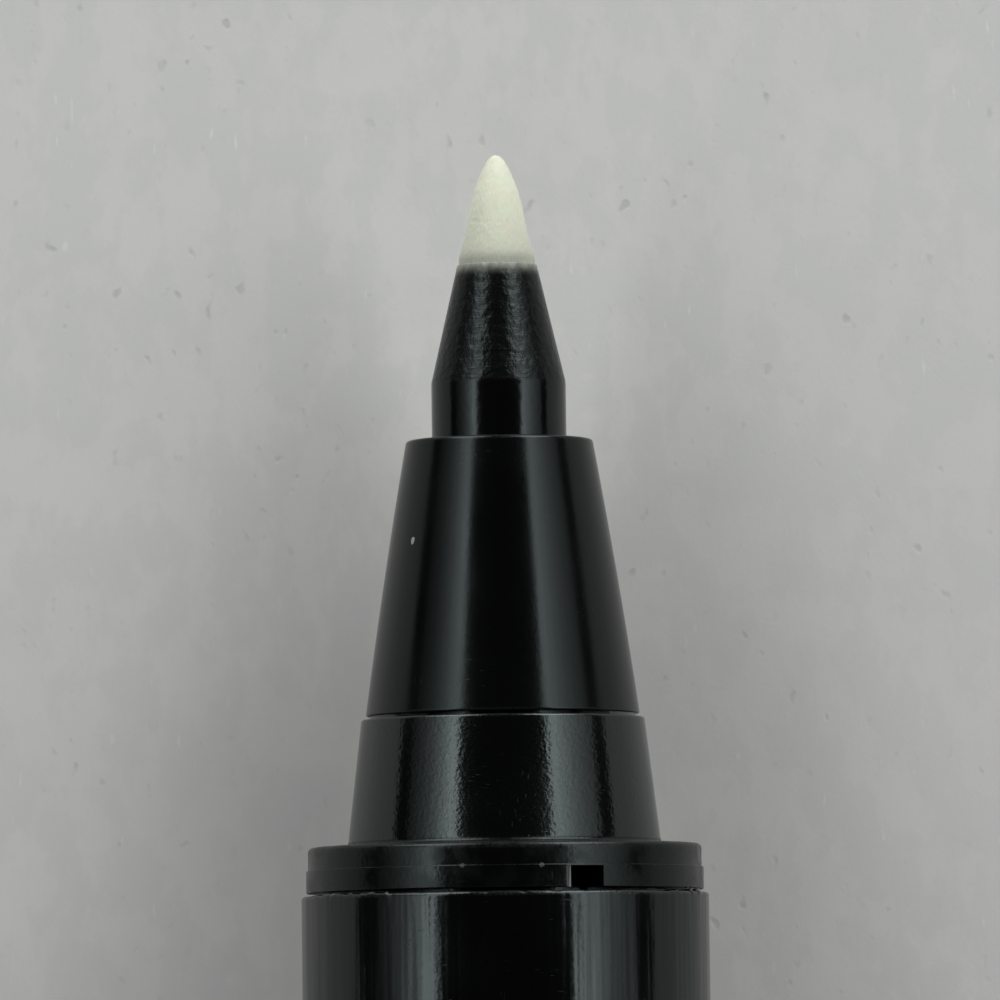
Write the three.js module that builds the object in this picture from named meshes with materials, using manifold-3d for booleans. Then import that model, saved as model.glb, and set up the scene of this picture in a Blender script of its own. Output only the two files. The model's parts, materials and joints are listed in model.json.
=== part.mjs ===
// Counterfeit detector pen: a black moulded felt-tip marker with an ivory fibre nib,
// lying on its side with its cap pushed onto the tail. Millimetres, +X towards the nib,
// +Z up, standing on z = 0.
//
// Every turned piece is drawn round local Y, with +Y towards the nib, from a profile of
// [radius, height] points. The groups at the end lay that axis along X.
import * as THREE from "three";
import { mergeVertices } from "three/addons/utils/BufferGeometryUtils.js";
import Module from "manifold-3d";

// ---- driving dimensions ----
const BARREL_RADIUS = 5.25;
const BARREL_LENGTH = 88;
const WALL = 1.05;
const SEAM = 0.08; // open line between two pieces that butt against each other
const PRESS_GAP = 0.05; // radial gap left where one piece is pressed into another
const RUN_GAP = 0.08; // radial gap where one piece turns or slides on another
const SOFT_EDGE = 0.12; // corner broken off the moulded rims
const CHAMFER = 0.4; // corner broken off the ends that have to find their way in

// nib and its holder
const NIB_REACH = 2.86; // how far the nib stands out of its holder
const NIB_BULLET = 1.7; // length of the rounded point
const NIB_RADIUS = 0.78; // where the point meets the shoulder
const NIB_FULLNESS = 1.3; // 1 gives a parabola, 2 an ellipse
const NIB_SHOULDER = 2.2; // power of the flare that ends the shoulder
const SHANK_RADIUS = 0.97;
const NIB_LENGTH = 31;
const NIB_TAIL = 1.5;
const HOLDER_MOUTH_RADIUS = 1.03;
const HOLDER_RADIUS = 1.74;
const HOLDER_CONE = 3.06;
const HOLDER_NECK = 1.48; // the parallel part in front of the nose
const HOLDER_STOP_RADIUS = 2.45;
const HOLDER_STOP_LENGTH = 1.5;
const HOLDER_FEED_RADIUS = 1.6;
const HOLDER_LENGTH = 22;

// nose cone
const NOSE_LENGTH = 7.19;
const NOSE_FRONT_RADIUS = 2.396;
const NOSE_REAR_RADIUS = 3.537;
const SPIGOT_RADIUS = 2.75;
const SPIGOT_LENGTH = 3.4;

// section collar: the step that the cap grips, the flange, and the skirt in the barrel
const STEP_LENGTH = 3.28;
const STEP_FRONT_RADIUS = 3.644;
const STEP_REAR_RADIUS = 4.04;
const FLANGE_RADIUS = 5.07;
const FLANGE_LENGTH = 0.53;
const BAND_RADIUS = 5.12;
const BAND_LENGTH = 0.65;
const SKIRT_LENGTH = 12;
const SKIRT_BORE = 3.35;
const VENT_WIDTH = 0.84;
const VENT_DEPTH = 0.3; // below the skirt's surface
const VENT_HEIGHT = 0.6;
const VENT_ANGLE = THREE.MathUtils.degToRad(65); // from the side towards the top

// reservoir
const RESERVOIR_RADIUS = 3.25;
const RESERVOIR_LENGTH = 72;
const RESERVOIR_SETBACK = 6; // its front end, behind the barrel's front rim
const FILM = 0.09;
const RIB_COUNT = 4;
const RIB_WIDTH = 0.8;
const RIB_FROM = 14;
const RIB_TO = 78;

// tail plug
const PLUG_SKIRT = 8;
const PLUG_FLANGE = 1.14;
const PLUG_STOP_RADIUS = 2.9;
const PLUG_BORE = 2.2;
const STUD_LENGTH = 9;
const STUD_END_RADIUS = 3.6;
const STUD_FLOOR = 1.3;

// cap
const CAP_LENGTH = 37;
const CAP_BORE = 4.6;
const LINER_RADIUS = 4.5;
const LINER_LENGTH = 20.5;
const LINER_SETBACK = 0.15;
const LINER_BORE = 3.7;
const LINER_FLOOR = 1.2;
const LINER_COVE = 1.3; // slope between the liner's bore and its floor
const BEAD_FROM = 8.1;
const BEAD_LENGTH = 1;
const BEAD_SLOPE = 0.25; // length of the slope at each end of the bead
const BEAD_RADIUS = 4.75;
const CROWN_LENGTH = 1.75;
const CROWN_FACE_RADIUS = 4.2;
const CROWN_SHOULDER_RADIUS = 5.01;
const CROWN_BEVEL = 0.7; // length of the steep bevel round the face
const CROWN_RIM = 0.35; // length of the parallel rim that meets the ring
const CROWN_SPIGOT = 6.5;
const CROWN_VENTS = 3;
const CROWN_VENT_RADIUS = 0.55;
const CROWN_VENT_CIRCLE = 2.5;

// clip
const CLIP_RING = 1.2; // thickness of the ring under the crown
const CLIP_RING_RADIUS = 5.2;
const CLIP_OUTER = 8.4; // furthest face from the pen's axis
const CLIP_THICKNESS = 1.3;
const CLIP_WIDTH = 3.4;
const CLIP_EDGE = 0.25;
const CLIP_REACH = 32.5; // from the ring's front face to the free end
const CLIP_KNEE = 3; // from the ring's front face to where the arm starts to bend
const CLIP_BEND = 1.4; // outside radius of the knee
const CLIP_GUSSET_WIDTH = 0.9; // sloping fillet inside the knee
const CLIP_GUSSET_HEIGHT = 1.2;
const CLIP_TIP_ROUNDING = 0.8; // at the outer corner of the free end
const CLIP_TIP_RAKE = 0.3; // how far the free end slopes back
const CLIP_HINGE_GAP = 0.3;
const CLIP_BALL_RADIUS = 1.6;
const CLIP_BALL_SETBACK = 2.6;
const CLIP_LIFT = 0.1; // the ball's rest height over the cap

const ROUND = 48; // sides of what shows
const ROUND_INSIDE = 36; // sides of what doesn't
const ROUND_SMALL = 12; // sides of the small vents
const CLIP_ARC_STEPS = 10; // steps in each arc of the clip's side view

// ---- stations along the axis, from the barrel's front rim ----
const FLANGE_REAR = SEAM;
const STEP_REAR = FLANGE_REAR + BAND_LENGTH + FLANGE_LENGTH;
const STEP_FRONT = STEP_REAR + STEP_LENGTH;
const NOSE_FRONT = STEP_FRONT + NOSE_LENGTH;
const HOLDER_MOUTH = NOSE_FRONT + HOLDER_NECK + HOLDER_CONE;
const NIB_TIP = HOLDER_MOUTH + NIB_REACH;
const PLUG_FRONT = -BARREL_LENGTH - SEAM;
const CAP_MOUTH = PLUG_FRONT - PLUG_FLANGE - SEAM;

const BARREL_BORE = BARREL_RADIUS - WALL;
const CLIP_INNER = CLIP_OUTER - CLIP_THICKNESS;

// ---- solids ----
const wasm = await Module();
wasm.setup();

function solidOf(geometry) {
  const bare = geometry.clone();
  bare.deleteAttribute("normal");
  bare.deleteAttribute("uv");
  const merged = mergeVertices(bare, 1e-4);
  return new wasm.Manifold(
    new wasm.Mesh({
      numProp: 3,
      vertProperties: merged.attributes.position.array,
      triVerts: new Uint32Array(merged.index.array),
    }),
  );
}

function geometryOf(solid) {
  const { vertProperties, triVerts } = solid.getMesh();
  const geometry = new THREE.BufferGeometry();
  geometry.setAttribute("position", new THREE.BufferAttribute(vertProperties, 3));
  geometry.setIndex(new THREE.BufferAttribute(triVerts, 1));
  geometry.computeVertexNormals();
  return geometry;
}

// A turned solid. The profile runs forwards outside and backwards inside. A closed
// profile makes a ring; an open one starts and ends on the axis.
function turned(profile, { closed = false, sides = ROUND } = {}) {
  const points = profile.map(([r, y]) => new THREE.Vector2(r, y));
  if (closed) points.push(points[0].clone());
  // Half a side of turn puts a flat underneath.
  return new THREE.LatheGeometry(points, sides, Math.PI / sides);
}

function block(width, height, depth, x, y, z) {
  return new THREE.BoxGeometry(width, height, depth).translate(x, y, z);
}

function piece(name, geometry, material, y = 0) {
  const mesh = new THREE.Mesh(geometry, material);
  mesh.name = name;
  mesh.position.y = y;
  return mesh;
}

// ---- materials ----
const glossBlack = new THREE.MeshStandardMaterial({ color: 0x0b0c0c, roughness: 0.28, metalness: 0 });
const satinBlack = new THREE.MeshStandardMaterial({ color: 0x121414, roughness: 0.5, metalness: 0 });
const ivoryFibre = new THREE.MeshStandardMaterial({ color: 0xdfe0c8, roughness: 0.9, metalness: 0 });
const amberFibre = new THREE.MeshStandardMaterial({ color: 0xc9b184, roughness: 0.95, metalness: 0 });
const clearFilm = new THREE.MeshStandardMaterial({ color: 0xe6e8e6, roughness: 0.3, metalness: 0 });
const milkyLiner = new THREE.MeshStandardMaterial({ color: 0xe4e4de, roughness: 0.45, metalness: 0 });

// ---- writing end ----

// Bullet point, shoulder that fills the holder's mouth, and a shank into the reservoir.
function nib() {
  const profile = [
    [0, -NIB_LENGTH],
    [SHANK_RADIUS, -NIB_LENGTH + NIB_TAIL],
    [SHANK_RADIUS, -NIB_REACH - SEAM],
  ];
  const flare = SHANK_RADIUS - NIB_RADIUS;
  for (const t of [0.97, 0.7, 0.35]) {
    const back = NIB_BULLET + (NIB_REACH - NIB_BULLET) * t;
    profile.push([NIB_RADIUS + flare * t ** NIB_SHOULDER, -back]);
  }
  for (const t of [1, 0.8, 0.6, 0.42, 0.27, 0.15, 0.07, 0.02]) {
    profile.push([NIB_RADIUS * Math.sqrt(1 - (1 - t) ** NIB_FULLNESS), -NIB_BULLET * t]);
  }
  profile.push([0, 0]);
  return piece("nib", turned(profile, { sides: ROUND_INSIDE }), ivoryFibre, NIB_TIP);
}

// Tapered tip that shows, a sleeve through the nose, a stop behind it and a feed tube.
function nibHolder() {
  const bore = SHANK_RADIUS + PRESS_GAP / 2;
  const neckRear = -HOLDER_CONE - HOLDER_NECK - NOSE_LENGTH - SPIGOT_LENGTH - SEAM;
  const stopRear = neckRear - HOLDER_STOP_LENGTH;
  const profile = [
    [HOLDER_FEED_RADIUS, -HOLDER_LENGTH],
    [HOLDER_FEED_RADIUS, stopRear],
    [HOLDER_STOP_RADIUS, stopRear],
    [HOLDER_STOP_RADIUS, neckRear],
    [HOLDER_RADIUS, neckRear],
    [HOLDER_RADIUS, -HOLDER_CONE],
    [HOLDER_MOUTH_RADIUS, 0],
    [bore, 0],
    [bore, -HOLDER_LENGTH],
  ];
  const geometry = turned(profile, { closed: true, sides: ROUND_INSIDE });
  return piece("nib_holder", geometry, satinBlack, HOLDER_MOUTH);
}

// The long taper, with a spigot that plugs into the section collar.
function noseCone() {
  const bore = HOLDER_RADIUS + PRESS_GAP;
  const shoulder = -NOSE_LENGTH + SEAM;
  const slope = (NOSE_REAR_RADIUS - NOSE_FRONT_RADIUS) / NOSE_LENGTH;
  const profile = [
    [SPIGOT_RADIUS, -NOSE_LENGTH - SPIGOT_LENGTH],
    [SPIGOT_RADIUS, shoulder],
    [NOSE_REAR_RADIUS, shoulder],
    [NOSE_FRONT_RADIUS + SOFT_EDGE * slope, -SOFT_EDGE],
    [NOSE_FRONT_RADIUS - SOFT_EDGE, 0],
    [bore, 0],
    [bore, -NOSE_LENGTH - SPIGOT_LENGTH],
  ];
  return piece("nose_cone", turned(profile, { closed: true }), glossBlack, NOSE_FRONT);
}

// Step, two-level flange and skirt in one moulding, with a vent notch in the flange
// that runs on as a groove down the skirt.
function sectionCollar() {
  const top = STEP_FRONT - FLANGE_REAR;
  const seat = STEP_REAR - FLANGE_REAR;
  const skirt = BARREL_BORE - PRESS_GAP;
  const ledge = top - SPIGOT_LENGTH - SEAM;
  const profile = [
    [skirt, -SKIRT_LENGTH],
    [skirt, 0],
    [BAND_RADIUS, 0],
    [BAND_RADIUS, BAND_LENGTH],
    [FLANGE_RADIUS, BAND_LENGTH],
    [FLANGE_RADIUS, seat - SOFT_EDGE],
    [FLANGE_RADIUS - SOFT_EDGE, seat],
    [STEP_REAR_RADIUS, seat],
    [STEP_FRONT_RADIUS, top - SOFT_EDGE],
    [STEP_FRONT_RADIUS - SOFT_EDGE, top],
    [SPIGOT_RADIUS + PRESS_GAP, top],
    [SPIGOT_RADIUS + PRESS_GAP, ledge],
    [SKIRT_BORE, ledge],
    [SKIRT_BORE, -SKIRT_LENGTH],
  ];
  const reach = BAND_RADIUS - skirt + VENT_DEPTH + SEAM;
  const notch = block(reach, VENT_HEIGHT * 2, VENT_WIDTH, skirt - VENT_DEPTH + reach / 2, 0, 0);
  const grooveLength = SKIRT_LENGTH + SEAM;
  const groove = block(
    VENT_DEPTH * 2,
    grooveLength,
    VENT_WIDTH,
    skirt,
    -grooveLength / 2,
    0,
  );
  const cut = [notch, groove].map((g) => solidOf(g.rotateY(-VENT_ANGLE)));
  const moulded = solidOf(turned(profile, { closed: true }));
  const geometry = geometryOf(moulded.subtract(cut[0]).subtract(cut[1]));
  return piece("section_collar", geometry, glossBlack, FLANGE_REAR);
}

// ---- barrel and what it holds ----

// Plain tube with ribs inside that keep the reservoir central and let air past it.
function barrel() {
  const profile = [
    [BARREL_BORE, -BARREL_LENGTH],
    [BARREL_RADIUS - SOFT_EDGE, -BARREL_LENGTH],
    [BARREL_RADIUS, -BARREL_LENGTH + SOFT_EDGE],
    [BARREL_RADIUS, -SOFT_EDGE],
    [BARREL_RADIUS - SOFT_EDGE, 0],
    [BARREL_BORE, 0],
  ];
  let solid = solidOf(turned(profile, { closed: true }));
  const tip = RESERVOIR_RADIUS + PRESS_GAP * 2;
  const depth = BARREL_BORE + WALL / 2 - tip;
  for (let i = 0; i < RIB_COUNT; i++) {
    const rib = block(
      depth,
      RIB_TO - RIB_FROM,
      RIB_WIDTH,
      tip + depth / 2,
      -(RIB_FROM + RIB_TO) / 2,
      0,
    ).rotateY(((i + 0.5) * 2 * Math.PI) / RIB_COUNT);
    solid = solid.add(solidOf(rib));
  }
  return piece("barrel", geometryOf(solid), glossBlack);
}

// Bonded fibre rod that holds the test fluid, with a pocket that the nib's shank fills.
function reservoirCore() {
  const radius = RESERVOIR_RADIUS - FILM - PRESS_GAP;
  const pocket = SHANK_RADIUS + PRESS_GAP / 2;
  const shankEnd = NIB_TIP - NIB_LENGTH + RESERVOIR_SETBACK;
  const profile = [
    [0, -RESERVOIR_LENGTH],
    [radius, -RESERVOIR_LENGTH],
    [radius, 0],
    [pocket, 0],
    [pocket, shankEnd + NIB_TAIL - SEAM],
    [0, shankEnd - SEAM],
  ];
  const geometry = turned(profile, { sides: ROUND_INSIDE });
  return piece("reservoir_core", geometry, amberFibre, -RESERVOIR_SETBACK);
}

function reservoirWrap() {
  const profile = [
    [RESERVOIR_RADIUS, -RESERVOIR_LENGTH],
    [RESERVOIR_RADIUS, 0],
    [RESERVOIR_RADIUS - FILM, 0],
    [RESERVOIR_RADIUS - FILM, -RESERVOIR_LENGTH],
  ];
  const geometry = turned(profile, { closed: true, sides: ROUND_INSIDE });
  return piece("reservoir_wrap", geometry, clearFilm, -RESERVOIR_SETBACK);
}

// Closes the barrel, stops the reservoir, and carries the stud that the cap is posted on.
function tailPlug() {
  const skirt = BARREL_BORE - PRESS_GAP;
  const studRear = -PLUG_FLANGE - STUD_LENGTH;
  const stop = BARREL_LENGTH + SEAM * 2 - RESERVOIR_SETBACK - RESERVOIR_LENGTH;
  const profile = [
    [0, studRear],
    [STUD_END_RADIUS - CHAMFER, studRear],
    [STUD_END_RADIUS, studRear + CHAMFER],
    [STEP_FRONT_RADIUS, -PLUG_FLANGE - STEP_LENGTH],
    [STEP_REAR_RADIUS, -PLUG_FLANGE],
    [BARREL_RADIUS - SOFT_EDGE, -PLUG_FLANGE],
    [BARREL_RADIUS, -PLUG_FLANGE + SOFT_EDGE],
    [BARREL_RADIUS, 0],
    [skirt, 0],
    [skirt, PLUG_SKIRT],
    [SKIRT_BORE, PLUG_SKIRT],
    [SKIRT_BORE, SEAM],
    [PLUG_STOP_RADIUS, SEAM],
    [PLUG_STOP_RADIUS, stop - SEAM * 2],
    [PLUG_BORE, stop - SEAM * 2],
    [PLUG_BORE, studRear + STUD_FLOOR],
    [0, studRear + STUD_FLOOR],
  ];
  return piece("tail_plug", turned(profile), glossBlack, PLUG_FRONT);
}

// ---- cap, drawn from its mouth at 0 back to its closed end ----

// Soft inner cap. It grips the section's step or the tail stud, and seals the nib.
// Its bead snaps into the shell's groove, so the shell can turn round it.
function capLiner() {
  const taper = STEP_LENGTH + LINER_SETBACK;
  const rear = -LINER_SETBACK - LINER_LENGTH;
  const profile = [
    [0, rear],
    [LINER_RADIUS - CHAMFER, rear],
    [LINER_RADIUS, rear + CHAMFER],
    [LINER_RADIUS, -BEAD_FROM - BEAD_LENGTH],
    [BEAD_RADIUS, -BEAD_FROM - BEAD_LENGTH + BEAD_SLOPE],
    [BEAD_RADIUS, -BEAD_FROM - BEAD_SLOPE],
    [LINER_RADIUS, -BEAD_FROM],
    [LINER_RADIUS, -LINER_SETBACK],
    [STEP_REAR_RADIUS + RUN_GAP, -LINER_SETBACK],
    [STEP_FRONT_RADIUS + RUN_GAP, -taper],
    [LINER_BORE, -taper - SEAM],
    [LINER_BORE, rear + LINER_FLOOR + LINER_COVE],
    [LINER_BORE - LINER_COVE, rear + LINER_FLOOR],
    [0, rear + LINER_FLOOR],
  ];
  return piece("cap_liner", turned(profile), milkyLiner);
}

function capShell() {
  const groove = BEAD_RADIUS + RUN_GAP;
  const profile = [
    [BARREL_RADIUS, -CAP_LENGTH],
    [BARREL_RADIUS, -SOFT_EDGE],
    [BARREL_RADIUS - SOFT_EDGE, 0],
    [CAP_BORE, 0],
    [CAP_BORE, -BEAD_FROM + RUN_GAP],
    [groove, -BEAD_FROM - BEAD_SLOPE + RUN_GAP],
    [groove, -BEAD_FROM - BEAD_LENGTH + BEAD_SLOPE - RUN_GAP],
    [CAP_BORE, -BEAD_FROM - BEAD_LENGTH - RUN_GAP],
    [CAP_BORE, -CAP_LENGTH],
  ];
  return piece("cap_shell", turned(profile, { closed: true }), glossBlack);
}

// A clip's side view, [radius, height], cut out of a bar as wide as the clip.
function clipBar(shape) {
  return new THREE.ExtrudeGeometry(shape, {
    depth: CLIP_WIDTH - 2 * CLIP_EDGE,
    bevelSize: CLIP_EDGE,
    bevelThickness: CLIP_EDGE,
    bevelOffset: -CLIP_EDGE,
    bevelSegments: 1,
    curveSegments: CLIP_ARC_STEPS,
  }).translate(0, 0, CLIP_EDGE - CLIP_WIDTH / 2);
}

// Ring clamped between shell and crown, and the knee that carries the arm. Its height 0
// is the ring's front face.
function clipMount() {
  const inner = LINER_RADIUS + PRESS_GAP;
  const ring = turned(
    [
      [CLIP_RING_RADIUS, -CLIP_RING],
      [CLIP_RING_RADIUS, 0],
      [inner, 0],
      [inner, -CLIP_RING],
    ],
    { closed: true },
  );
  const bendCentre = CLIP_OUTER - CLIP_BEND;
  const shape = new THREE.Shape();
  shape.moveTo(inner + PRESS_GAP, -CLIP_RING);
  shape.lineTo(bendCentre, -CLIP_RING);
  shape.absarc(bendCentre, CLIP_BEND - CLIP_RING, CLIP_BEND, -Math.PI / 2, 0, false);
  shape.lineTo(CLIP_OUTER, CLIP_KNEE - CLIP_HINGE_GAP / 2);
  shape.lineTo(CLIP_INNER, CLIP_KNEE - CLIP_HINGE_GAP / 2);
  shape.lineTo(CLIP_INNER, CLIP_GUSSET_HEIGHT);
  shape.lineTo(CLIP_INNER - CLIP_GUSSET_WIDTH, 0);
  shape.lineTo(inner + PRESS_GAP, 0);
  shape.closePath();
  const geometry = geometryOf(solidOf(ring).add(solidOf(clipBar(shape))));
  return piece("clip_mount", geometry, glossBlack, -CAP_LENGTH - PRESS_GAP);
}

// The springy arm, with the ball at its free end that presses on the cap.
function clipArm() {
  const ballHeight = CLIP_REACH - CLIP_BALL_SETBACK;
  const ballCentre = BARREL_RADIUS + CLIP_LIFT + CLIP_BALL_RADIUS;
  const half = Math.acos((CLIP_INNER - ballCentre) / CLIP_BALL_RADIUS);
  const spread = CLIP_BALL_RADIUS * Math.sin(half);
  const shape = new THREE.Shape();
  shape.moveTo(CLIP_OUTER, CLIP_KNEE + CLIP_HINGE_GAP / 2);
  shape.lineTo(CLIP_OUTER, CLIP_REACH - CLIP_TIP_ROUNDING);
  shape.quadraticCurveTo(CLIP_OUTER, CLIP_REACH, CLIP_OUTER - CLIP_TIP_ROUNDING, CLIP_REACH);
  shape.lineTo(CLIP_INNER, CLIP_REACH - CLIP_TIP_RAKE);
  shape.lineTo(CLIP_INNER, ballHeight + spread);
  shape.absarc(ballCentre, ballHeight, CLIP_BALL_RADIUS, half, -half, false);
  shape.lineTo(CLIP_INNER, CLIP_KNEE + CLIP_HINGE_GAP / 2);
  shape.closePath();
  return piece("clip_arm", clipBar(shape), glossBlack, -CAP_LENGTH - PRESS_GAP);
}

// End plug that locks the clip's ring, with vents through its face. Its height 0 is the
// face that meets the ring.
function capCrown() {
  const floor = -CROWN_LENGTH / 2;
  const profile = [
    [0, -CROWN_LENGTH],
    [CROWN_FACE_RADIUS, -CROWN_LENGTH],
    [CROWN_SHOULDER_RADIUS, -CROWN_LENGTH + CROWN_BEVEL],
    [BARREL_RADIUS, -CROWN_RIM],
    [BARREL_RADIUS, 0],
    [LINER_RADIUS, 0],
    [LINER_RADIUS, CROWN_SPIGOT],
    [LINER_BORE, CROWN_SPIGOT],
    [LINER_BORE, floor],
    [0, floor],
  ];
  let solid = solidOf(turned(profile));
  for (let i = 0; i < CROWN_VENTS; i++) {
    const angle = (i * 2 * Math.PI) / CROWN_VENTS;
    const vent = new THREE.CylinderGeometry(
      CROWN_VENT_RADIUS,
      CROWN_VENT_RADIUS,
      CROWN_LENGTH * 2,
      ROUND_SMALL,
    ).translate(
      CROWN_VENT_CIRCLE * Math.cos(angle),
      floor,
      CROWN_VENT_CIRCLE * Math.sin(angle),
    );
    solid = solid.subtract(solidOf(vent));
  }
  const seat = -CAP_LENGTH - PRESS_GAP * 2 - CLIP_RING;
  return piece("cap_crown", geometryOf(solid), glossBlack, seat);
}

// ---- assembly ----
const body = new THREE.Group();
body.add(nib(), nibHolder(), noseCone(), sectionCollar());
body.add(barrel(), reservoirCore(), reservoirWrap(), tailPlug());

// The clip hangs on the side of the cap, turned down until its outer edge meets the
// surface that the barrel lies on.
const clip = new THREE.Group();
clip.add(clipMount(), clipArm());
const axisHeight = BARREL_RADIUS * Math.cos(Math.PI / ROUND);
const corner = new THREE.Vector2(CLIP_OUTER - CLIP_EDGE, CLIP_WIDTH / 2);
clip.rotation.y = Math.asin(axisHeight / corner.length()) - corner.angle();

// The cap is posted on the tail.
const cap = new THREE.Group();
cap.add(capLiner(), capShell(), capCrown(), clip);
cap.position.y = CAP_MOUTH;

// Local +Y becomes +X, and local +X becomes -Y, the side that the clip is on. The
// origin goes under the middle of the pen.
const pen = new THREE.Group();
pen.add(body, cap);
pen.rotation.z = -Math.PI / 2;
const bounds = new THREE.Box3().setFromObject(pen, true);
const middle = bounds.getCenter(new THREE.Vector3());
pen.position.set(-middle.x, -middle.y, -bounds.min.z);

const model = new THREE.Group();
model.add(pen);

export default model;
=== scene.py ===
import json
import math

import bmesh
import bpy
from bpy.props import FloatProperty, FloatVectorProperty, IntProperty, PointerProperty
from mathutils import Matrix, Vector, noise


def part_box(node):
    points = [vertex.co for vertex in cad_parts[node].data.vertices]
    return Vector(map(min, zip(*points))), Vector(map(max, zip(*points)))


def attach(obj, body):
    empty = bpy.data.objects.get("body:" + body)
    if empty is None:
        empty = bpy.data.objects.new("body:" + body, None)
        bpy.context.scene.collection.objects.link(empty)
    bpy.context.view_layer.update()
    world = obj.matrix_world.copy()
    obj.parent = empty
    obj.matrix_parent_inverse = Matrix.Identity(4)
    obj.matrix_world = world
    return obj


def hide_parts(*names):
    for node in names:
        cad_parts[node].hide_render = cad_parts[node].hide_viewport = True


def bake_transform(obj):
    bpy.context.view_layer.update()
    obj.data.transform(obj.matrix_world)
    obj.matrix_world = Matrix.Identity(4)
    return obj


bl_info = {
    "name": "Counterfeit detector pen",
    "version": (1, 0, 0),
    "blender": (4, 5, 0),
    "location": "3D View > Sidebar > Pen",
    "description": "Builds the finished pieces, materials and studio of a felt-tip detector pen",
    "category": "Object",
}

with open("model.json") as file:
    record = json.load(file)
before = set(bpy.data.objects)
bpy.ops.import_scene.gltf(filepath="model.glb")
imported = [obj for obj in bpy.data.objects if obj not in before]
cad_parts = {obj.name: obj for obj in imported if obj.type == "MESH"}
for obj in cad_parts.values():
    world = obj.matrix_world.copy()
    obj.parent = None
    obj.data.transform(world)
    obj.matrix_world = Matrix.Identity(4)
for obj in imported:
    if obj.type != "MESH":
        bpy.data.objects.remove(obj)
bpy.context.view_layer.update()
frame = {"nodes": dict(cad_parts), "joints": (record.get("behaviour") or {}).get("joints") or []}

MM = 0.001
MICRON = 0.000001

# Where two mouldings meet they leave a seam. Small roundings are crisp or eased.
SEAM = 0.08 * MM
CRISP = 0.05 * MM
EASED = 0.1 * MM

# The frame's barrel is a prism with this many flats, and it rests on one of them.
BARREL_FLATS = 48


# ---- places, all from the frame ----
def front(node):
    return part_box(node)[1][0]


def back(node):
    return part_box(node)[0][0]


BARREL_LOW, BARREL_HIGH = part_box("barrel")
AXIS_Y = (BARREL_LOW[1] + BARREL_HIGH[1]) / 2
AXIS_Z = (BARREL_LOW[2] + BARREL_HIGH[2]) / 2
BARREL_RADIUS = AXIS_Z / math.cos(math.pi / BARREL_FLATS)
NIB_TIP = front("nib")
HOLDER_MOUTH = front("nib_holder")
NOSE_FRONT = front("nose_cone")
STEP_FRONT = front("section_collar")
BARREL_FRONT = front("barrel")
BARREL_BACK = back("barrel")
CAP_MOUTH = front("cap_shell")
CROWN_FACE = back("cap_crown")

# The radius of what is pressed into the barrel, and the place of the cap's snap bead.
PRESSED_RADIUS = 4.15 * MM
SNAP = CAP_MOUTH - 8.1 * MM

CLIP_JOINT = next(j for j in frame["joints"] if j["name"] == "clip_flex")
CLIP_PIVOT = Vector(CLIP_JOINT["pos_m"])
CLIP_OUT = Vector(CLIP_JOINT["axis"]).cross(Vector((1, 0, 0))).normalized()


def on_pen(x, radius, degrees):
    """The place at a radius from the pen's axis. Degrees count from the top towards the
    clip's side."""
    angle = math.radians(degrees)
    return (x, AXIS_Y - radius * math.sin(angle), AXIS_Z + radius * math.cos(angle))


# ---- sizes and colours that can be changed ----
class PenSizes(bpy.types.PropertyGroup):
    sides: IntProperty(
        name="Sides",
        description="Flats round a turned piece, before smooth shading",
        default=144,
        min=24,
        max=512,
    )
    rim: FloatProperty(
        name="Rim rounding",
        description="Radius on the moulded rims",
        default=0.09 * MM,
        unit="LENGTH",
    )
    fuzz: FloatProperty(
        name="Nib fuzz",
        description="How far the felt's surface wanders",
        default=0.012 * MM,
        unit="LENGTH",
    )
    nose_swell: FloatProperty(
        name="Nose swell",
        description="How far the nose's side bows out, halfway along",
        default=0.035 * MM,
        unit="LENGTH",
    )
    burr: FloatProperty(
        name="Burr",
        description="Height of the moulding burrs on the barrel's rim",
        default=0.05 * MM,
        unit="LENGTH",
    )


class PenColours(bpy.types.PropertyGroup):
    nib: FloatVectorProperty(
        name="Nib",
        description="Clean felt at the point",
        subtype="COLOR",
        size=3,
        default=(0.66, 0.69, 0.56),
    )
    nib_foot: FloatVectorProperty(
        name="Nib foot",
        description="Felt where it enters the holder",
        subtype="COLOR",
        size=3,
        default=(0.34, 0.355, 0.30),
    )
    gloss_black: FloatVectorProperty(
        name="Gloss black",
        description="Nose, collar, barrel and cap mouldings",
        subtype="COLOR",
        size=3,
        default=(0.0011, 0.0012, 0.0011),
    )
    satin_black: FloatVectorProperty(
        name="Satin black",
        description="Nib holder",
        subtype="COLOR",
        size=3,
        default=(0.0012, 0.0014, 0.0012),
    )
    worn_edge: FloatVectorProperty(
        name="Worn edge",
        description="Black plastic where a rim is rubbed",
        subtype="COLOR",
        size=3,
        default=(0.020, 0.022, 0.021),
    )
    liner: FloatVectorProperty(
        name="Liner",
        description="Natural soft plastic of the inner cap",
        subtype="COLOR",
        size=3,
        default=(0.72, 0.72, 0.68),
    )
    floor: FloatVectorProperty(
        name="Floor",
        description="Pale paper that the pen lies on",
        subtype="COLOR",
        size=3,
        default=(0.60, 0.60, 0.585),
    )


class PenStudio(bpy.types.PropertyGroup):
    camera_height: FloatProperty(
        name="Camera height",
        description="From the pen's axis to the camera",
        default=0.2545,
        unit="LENGTH",
    )
    camera_back: FloatProperty(
        name="Camera set back",
        description="From the middle of the view towards the cap",
        default=15.8 * MM,
        unit="LENGTH",
    )
    view_back: FloatProperty(
        name="View set back",
        description="From the nib's point to the middle of the view",
        default=8.94 * MM,
        unit="LENGTH",
    )
    roll: FloatProperty(
        name="Roll",
        description="Turn of the camera about its own line of sight",
        default=math.radians(-0.75),
        subtype="ANGLE",
    )
    lens: FloatProperty(
        name="Lens",
        description="Focal length in millimetres",
        default=355.5,
    )


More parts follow.
